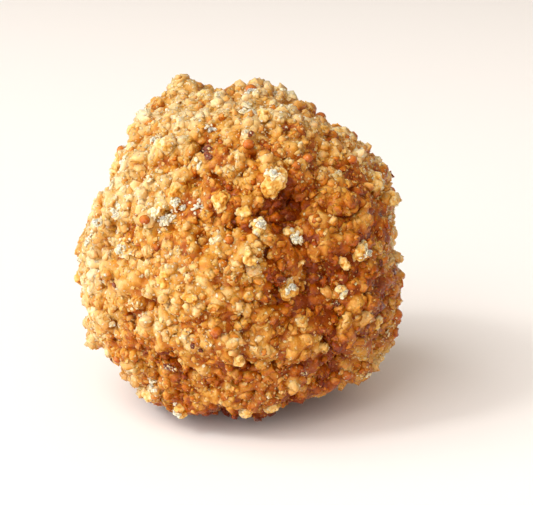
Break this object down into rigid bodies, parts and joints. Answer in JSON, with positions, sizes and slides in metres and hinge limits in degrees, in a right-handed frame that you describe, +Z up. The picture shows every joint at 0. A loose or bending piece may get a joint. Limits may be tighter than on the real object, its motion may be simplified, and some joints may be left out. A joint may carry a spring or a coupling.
{
  "type": "chocolate truffle",
  "caption": "Hand-rolled chocolate truffle, an uneven ball coated all over in golden praline and biscuit crumb, resting on a small flat foot.",
  "frame": {"origin": "middle of the ball's box at the level of its flat foot", "axes": "+Z up, -Y towards the side with the deep crease and pit, +X to the right seen from there"},
  "size_m": [0.0322, 0.0332, 0.0315],
  "materials": {
    "praline_crumb": "golden caramelised nut and biscuit crumb, uneven, with small glossy grains"
  },
  "bodies": {
    "root": {"truffle": "praline_crumb"}
  },
  "joints": []
}
